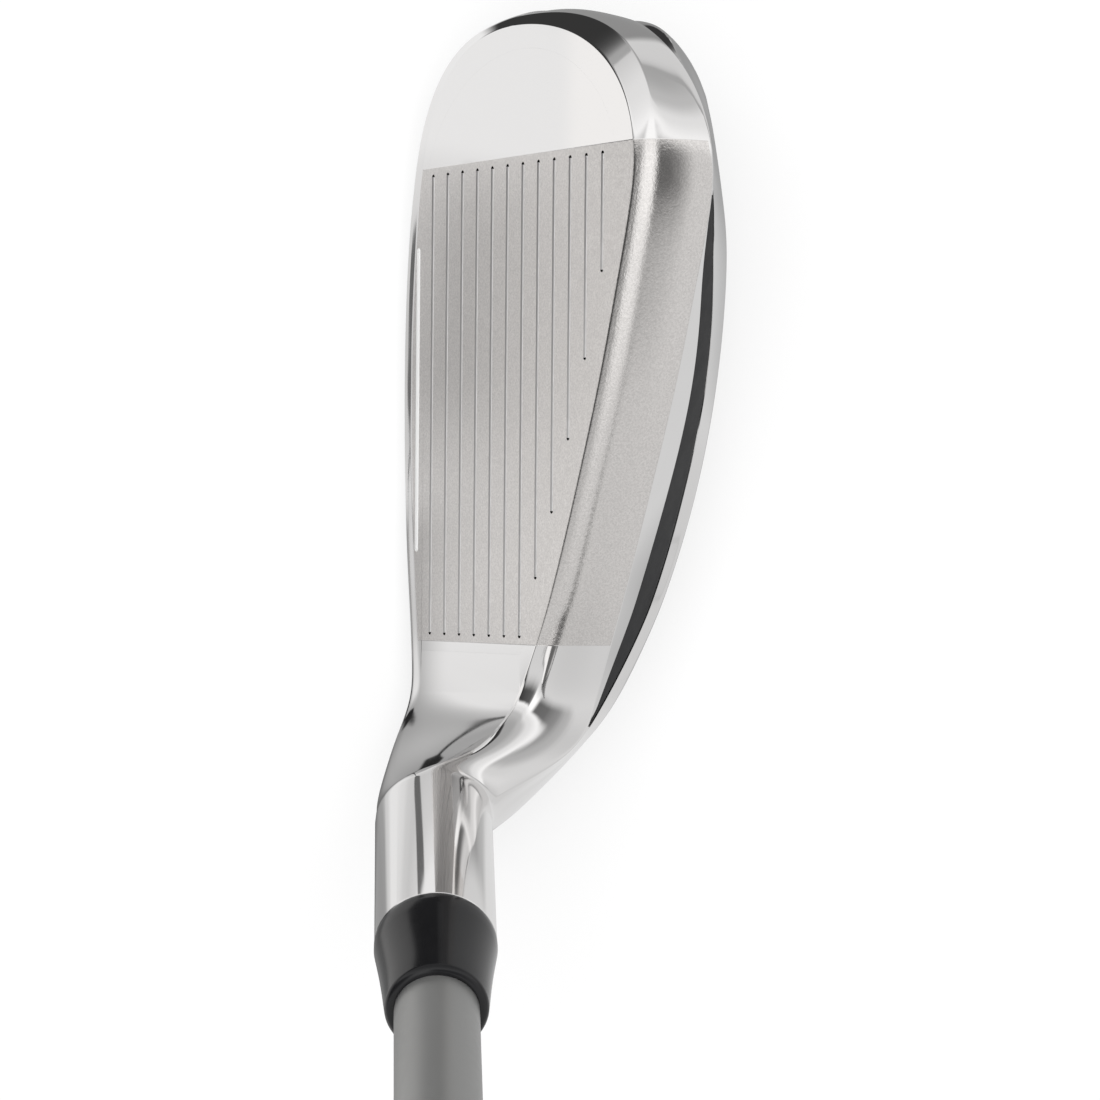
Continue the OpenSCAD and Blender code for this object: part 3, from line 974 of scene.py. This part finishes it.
def mix_color(t, fac, a, b):
    n = t.nodes.new("ShaderNodeMix")
    n.data_type = "RGBA"
    for i, v in ((0, fac), (6, a), (7, b)):
        plug(t, v, n.inputs[i])
    return n.outputs[2]


def bump(t, height, strength, distance):
    n = t.nodes.new("ShaderNodeBump")
    for k, v in (("Strength", strength), ("Distance", distance), ("Height", height)):
        plug(t, v, n.inputs[k])
    return n.outputs["Normal"]


def ramp(t, value, low, high, stops, top=1.0):
    """A grey level, as a share of top, that follows the stops along a value that runs from low to high."""
    n = t.nodes.new("ShaderNodeValToRGB")
    n.color_ramp.interpolation = "EASE"
    e = n.color_ramp.elements
    while len(e) > 1:
        e.remove(e[-1])
    for i, (at, level) in enumerate(stops):
        place = (at - low) / (high - low)
        q = e[0] if i == 0 else e.new(place)
        q.position = place
        q.color = (level / top, level / top, level / top, 1)
    t.links.new(map_range(t, value, low, high, smooth=False), n.inputs[0])
    return n.outputs[0]


def tint(color, share):
    return tuple(min(c * share, 1) for c in color)


def grey(level):
    return (level, level, level)


POLISHED = (0.86, 0.85, 0.845)
BLASTED = (0.75, 0.727, 0.71)
# the blasted zone's heel and toe boundary, each as a short fade across the head
BLAST_HEEL = (4.65 * MM, 4.78 * MM)
BLAST_TOE = (62.46 * MM, 62.34 * MM)


def polish(t, vec):
    """The slight unevenness of polished steel, and the roughness that comes of it."""
    smear = noise(t, vec, 160, 3, 0.6)
    return smear, map_range(t, smear, 0.3, 0.7, 0.045, 0.075)


def polished_steel():
    m, t, b = tree_of("polished_steel")
    smear, rough = polish(t, object_coords(t))
    dress(t, b, mix_color(t, smear, POLISHED, tint(POLISHED, 0.965)), rough)
    return m


def zoned_steel(name, rough_low, rough_high, relief):
    """Steel that is finely blasted between two planes across the head and polished beyond them."""
    m, t, b = tree_of(name)
    vec = object_coords(t)
    x = separate(t, vec)[0]
    zone = product(t, map_range(t, x, *BLAST_HEEL), map_range(t, x, *BLAST_TOE))
    grain = noise(t, vec, 4200, 2, 0.6)
    mottle = noise(t, vec, 1500, 3, 0.65)
    tone = mix_color(t, map_range(t, grain, 0.35, 0.65), tint(BLASTED, 0.90), tint(BLASTED, 1.08))
    tone = mix_color(t, map_range(t, mottle, 0.35, 0.65, 0.0, 0.5), tone, BLASTED)
    n = t.nodes.new("ShaderNodeMix")
    t.links.new(zone, n.inputs[0])
    t.links.new(polish(t, vec)[1], n.inputs[2])
    t.links.new(map_range(t, mottle, 0.3, 0.7, rough_low, rough_high), n.inputs[3])
    dress(t, b, mix_color(t, zone, POLISHED, tone), n.outputs[0])
    height = product(t, math_node(t, "ADD", grain, mottle), zone)
    t.links.new(bump(t, height, relief, 0.08 * MM), b.inputs["Normal"])
    return m


def painted_light_groove_steel(name, tone):
    """Cut steel with faint tool marks; its tone is painted light and shade, as light or dark as the wall of a
    scored line looks.
    """
    m, t, b = tree_of(name)
    mark = noise(t, object_coords(t), 900, 2)
    bright = (tone, tone * 0.99, tone * 0.98)
    dull = (tone * 0.88, tone * 0.87, tone * 0.86)
    dress(t, b, mix_color(t, mark, bright, dull), map_range(t, mark, 0.3, 0.7, 0.30, 0.38))
    return m


def flat_material(
    name, color, rough, metal=0.0, spread=0.06, scale=400, rough_spread=0.06, relief=None, shine=0.5
):
    """A colour that varies a little in tone and roughness; relief is (depth in millimetres, noise scale)."""
    m, t, b = tree_of(name, metal)
    vec = object_coords(t)
    f = noise(t, vec, scale, 3, 0.6)
    low, high = rough - rough_spread / 2, rough + rough_spread / 2
    tone = mix_color(t, f, tint(color, 1 - spread), tint(color, 1 + spread))
    dress(t, b, tone, map_range(t, f, 0.3, 0.7, low, high))
    b.inputs["Specular IOR Level"].default_value = shine
    if relief:
        depth, fineness = relief
        t.links.new(bump(t, noise(t, vec, fineness, 2, 0.6), 0.5, depth * MM), b.inputs["Normal"])
    return m


# -------- pieces

steel = polished_steel()
zoned = zoned_steel("blasted_and_polished_steel", 0.33, 0.41, 0.35)
satin = zoned_steel("satin_and_polished_steel", 0.13, 0.17, 0.12)
# the scored lines' walls: a lit tone, painted shade on the upper walls and a near-black painted shadow at the
# ends
cut = painted_light_groove_steel("cut_steel", 0.80)
groove_wall_painted_shade = painted_light_groove_steel("cut_steel_painted_shade", 0.30)
groove_end_painted_shadow = painted_light_groove_steel("cut_steel_painted_shadow_end", 0.02)
white = flat_material("white_paint", (0.90, 0.90, 0.89), 0.35, spread=0.02)
black_panel = flat_material(
    "black_panel", (0.016, 0.016, 0.017), 0.6, spread=0.10, shine=0.22, relief=(0.03, 5200)
)
gloss_black = flat_material(
    "ferrule_black", (0.010, 0.010, 0.011), 0.16, spread=0.1, rough_spread=0.03, shine=0.35
)
shaft_grey = flat_material(
    "shaft_grey", (0.30, 0.30, 0.295), 0.36, metal=0.55, spread=0.03, scale=900, relief=(0.01, 7000)
)
rubber = flat_material(
    "grip_rubber", (0.022, 0.022, 0.023), 0.62, spread=0.12, scale=300, relief=(0.06, 3800)
)
cap_rubber = flat_material(
    "cap_rubber", (0.020, 0.020, 0.021), 0.55, spread=0.12, scale=300, relief=(0.04, 3000)
)
tape = flat_material("tape", (0.60, 0.52, 0.36), 0.7, spread=0.08, scale=600, relief=(0.08, 900))
brass = flat_material("brass_pin", (0.80, 0.60, 0.28), 0.3, metal=1.0, spread=0.05, scale=700)
alloy = flat_material("heavy_alloy", (0.32, 0.32, 0.33), 0.45, metal=1.0, spread=0.08, scale=900)

PIECES = (
    (head_shell(zoned, steel, satin), "head_body", "polished_steel"),
    (face_insert(zoned, cut, groove_wall_painted_shade, groove_end_painted_shadow), "face_plate", "blasted_steel"),
    (painted_line(white), "face_line_fill", "white_paint"),
    (crown_panel(black_panel), "crown_panel", "black_panel"),
    (ferrule(gloss_black), "ferrule", "ferrule_black"),
    (shaft_tube(shaft_grey), "shaft", "shaft_grey"),
    (grip(rubber), "grip_sleeve", "grip_rubber"),
    (cap(cap_rubber), "grip_cap", "cap_rubber"),
)
for piece, cad_node, slot in PIECES:
    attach(piece, "root")
    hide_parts(cad_node)

# the hidden pieces keep the CAD's meshes
HIDDEN = (("sole_weight", alloy), ("toe_weight", alloy), ("tip_weight", brass), ("grip_tape", tape))
for cad_node, material in HIDDEN:
    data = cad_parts[cad_node].data
    data.materials.clear()
    data.materials.append(material)

# -------- floor, light and camera

# places on the floor are in metres, levels run from 0 for black to about 1 for white
# the cards: a glow of painted light and painted shade on the floor, seen only in mirrored rays
CARD_FROM, CARD_TO = -0.06, 0.10
AHEAD = (
    (-0.06, 0.45), (-0.016, 0.33), (-0.01, 0.36), (-0.003, 0.68), (0.004, 0.88), (0.012, 0.88), (0.02, 0.80),
    (0.03, 0.68), (0.04, 0.64), (0.052, 0.70), (0.063, 0.82), (0.068, 0.92), (0.09, 0.92), (0.1, 0.30),
)
BEHIND = ((-0.06, 0.70), (-0.012, 0.76), (-0.002, 0.50), (0.01, 0.36), (0.06, 0.36), (0.1, 0.30))
SLOT_FROM, SLOT_TO = -0.01, 0.07
SLOT_HALF = (
    (-0.01, 0.0018), (0.0012, 0.0018), (0.003, 0.0003), (0.028, 0.0003),
    (0.038, 0.0042), (0.063, 0.0068), (0.07, 0.0068),
)
SLOT_LEVEL = ((-0.01, 0.02), (0.004, 0.02), (0.03, 0.15), (0.07, 0.15))


def floor_painted_light(t):
    """Painted light on the floor that only the steel mirrors: a glow, bright ahead of the club, softer
    behind, with dark gaps of painted shade.
    """
    fx, fy, _ = separate(t, object_coords(t))
    # painted shade, a little darker under the dish
    dish = math_node(t, "MAXIMUM", map_range(t, fy, 0.008, 0.020, 0.45, 1.0), map_range(t, fx, 0.012, 0.024))
    ahead = product(t, ramp(t, fx, CARD_FROM, CARD_TO, AHEAD), dish)
    behind = ramp(t, fx, CARD_FROM, CARD_TO, BEHIND)
    behind = mix_color(t, map_range(t, fy, -0.036, -0.044), behind, grey(0.70))
    ahead = mix_color(t, map_range(t, fy, 0.046, 0.052), ahead, (1.0, 0.99, 0.98))
    cards = mix_color(t, map_range(t, fy, -0.004, -0.014), ahead, behind)
    # painted shade: a dark slot that starts under the bend and widens along the front of the face
    middle = math_node(t, "ADD", product(t, fx, 0.31), 0.008)
    off = math_node(t, "ABSOLUTE", math_node(t, "SUBTRACT", fy, middle))
    half = ramp(t, fx, SLOT_FROM, SLOT_TO, SLOT_HALF)
    slot = map_range(t, math_node(t, "DIVIDE", off, half), 1.1, 0.75)
    slot = product(t, slot, product(t, map_range(t, fx, -0.004, -0.001), map_range(t, fx, 0.066, 0.062)))
    cards = mix_color(t, slot, cards, ramp(t, fx, SLOT_FROM, SLOT_TO, SLOT_LEVEL))
    # painted shade: a dark gap ahead of the toe, then one plain grey further out
    gap = product(t, map_range(t, fx, 0.085, 0.089), map_range(t, fy, -0.012, -0.004))
    level = mix_color(t, gap, cards, grey(0.04))
    distance = math_node(t, "MAXIMUM", math_node(t, "ABSOLUTE", fx), math_node(t, "ABSOLUTE", fy))
    outer = mix_color(t, map_range(t, fx, -0.1, 0.2), grey(0.62), grey(0.42))
    return mix_color(t, map_range(t, distance, 0.16, 0.5), level, outer)


def pale_floor():
    """Plain and pale to the camera; everything else meets the cards, a glow of painted light on the floor."""
    m, t, b = tree_of("pale_floor")
    t.nodes.remove(b)
    glow, pale, mirrored = (
        t.nodes.new("ShaderNode" + kind) for kind in ("Emission", "BsdfDiffuse", "Emission")
    )
    glow.inputs["Color"].default_value = (1, 1, 1, 1)
    glow.inputs["Strength"].default_value = 0.6
    pale.inputs["Color"].default_value = (0.36, 0.36, 0.36, 1)
    seen = t.nodes.new("ShaderNodeAddShader")
    t.links.new(glow.outputs[0], seen.inputs[0])
    t.links.new(pale.outputs[0], seen.inputs[1])
    t.links.new(floor_painted_light(t), mirrored.inputs[0])
    either = t.nodes.new("ShaderNodeMixShader")
    t.links.new(seen_by_camera(t), either.inputs[0])
    t.links.new(mirrored.outputs[0], either.inputs[1])
    t.links.new(seen.outputs[0], either.inputs[2])
    t.links.new(either.outputs[0], t.nodes["Material Output"].inputs[0])
    return m


def studio_floor():
    half = 30.0
    mesh = bpy.data.meshes.new("floor")
    corners = [(-half, -half, 0), (half, -half, 0), (half, half, 0), (-half, half, 0)]
    mesh.from_pydata(corners, [], [(0, 1, 2, 3)])
    mesh.materials.append(pale_floor())
    floor = bpy.data.objects.new("floor", mesh)
    bpy.context.scene.collection.objects.link(floor)


# brightest level of the world
TOP = 1.2
# across the head, in degrees from the zenith towards +Y: bright low behind, dark just behind the zenith,
# a strip light just ahead of it, dark ahead
ACROSS = (
    (-90, 0.66), (-64, 0.80), (-52, 0.74), (-42, 0.50), (-31, 0.28), (-18, 0.17), (2, 0.15),
    (11, 1.2), (28, 1.2), (38, 0.26), (47, 0.11), (70, 0.05), (90, 0.04),
)
# along the head, as the direction's X: bright just towards the toe, mid grey at both ends
ALONG = (
    (-1.0, 0.62), (-0.5, 0.75), (-0.2, 0.8), (0.12, 0.9), (0.22, 1.05),
    (0.5, 0.85), (0.7, 0.56), (0.9, 0.42), (1.0, 0.40),
)


def studio_world():
    """Plain pale grey to the camera; everything else meets light and dark bands."""
    world = bpy.data.worlds.new("studio")
    bpy.context.scene.world = world
    world.use_nodes = True
    t = world.node_tree
    t.nodes.clear()
    dx, dy, dz = separate(t, t.nodes.new("ShaderNodeTexCoord").outputs["Generated"])
    tilt = product(t, math_node(t, "ARCTAN2", dy, dz), 180 / math.pi)
    across = ramp(t, tilt, -90, 90, ACROSS, TOP)
    along = ramp(t, dx, -1, 1, ALONG, TOP)
    side = math_node(t, "MAXIMUM", map_range(t, dx, 0.08, 0.28), map_range(t, dx, -0.25, -0.6))
    bands = t.nodes.new("ShaderNodeVectorMath")
    bands.operation = "SCALE"
    bands.inputs["Scale"].default_value = TOP
    t.links.new(mix_color(t, side, across, along), bands.inputs[0])
    back, out = t.nodes.new("ShaderNodeBackground"), t.nodes.new("ShaderNodeOutputWorld")
    t.links.new(mix_color(t, seen_by_camera(t), bands.outputs[0], grey(0.93)), back.inputs[0])
    t.links.new(back.outputs[0], out.inputs[0])


def softbox(name, height, ahead, size, power):
    """A soft square light over the club that gives no highlight of its own."""
    data = bpy.data.lights.new(name, "AREA")
    data.shape = "RECTANGLE"
    data.size, data.size_y = size, size
    data.energy = power
    place = Vector((0.0, ahead, height))
    obj = bpy.data.objects.new(name, data)
    obj.location = place
    obj.rotation_euler = (-place).to_track_quat("-Z", "Y").to_euler()
    obj.visible_glossy = False
    obj.visible_camera = False
    bpy.context.scene.collection.objects.link(obj)


# the player's eye over the head, in millimetres; tilt and roll in radians
EYE = Vector((15.885, 7.125, 532.74))
PITCH, ROLL, LENS = 0.040765, 0.0079212, 140.5


def player_camera():
    """A camera that looks down on the head, with the toe at the top of the picture."""
    forward = Vector((0, -math.sin(PITCH), -math.cos(PITCH)))
    up = (Vector((1, 0, 0)) - forward * forward.x).normalized()
    right = forward.cross(up)
    cos, sin = math.cos(ROLL), math.sin(ROLL)
    up, right = up * cos - right * sin, right * cos + up * sin
    data = bpy.data.cameras.new("camera")
    data.sensor_width = 36
    data.lens = LENS
    data.clip_start, data.clip_end = 0.01, 100
    camera = bpy.data.objects.new("camera", data)
    rows = zip(right, up, -forward, EYE * MM)
    camera.matrix_world = Matrix([*rows, (0, 0, 0, 1)])
    bpy.context.scene.collection.objects.link(camera)
    bpy.context.scene.camera = camera
    bpy.context.scene.view_settings.view_transform = "Standard"


studio_floor()
studio_world()
softbox("overhead", 1.7, 0.05, 1.8, 24)
player_camera()
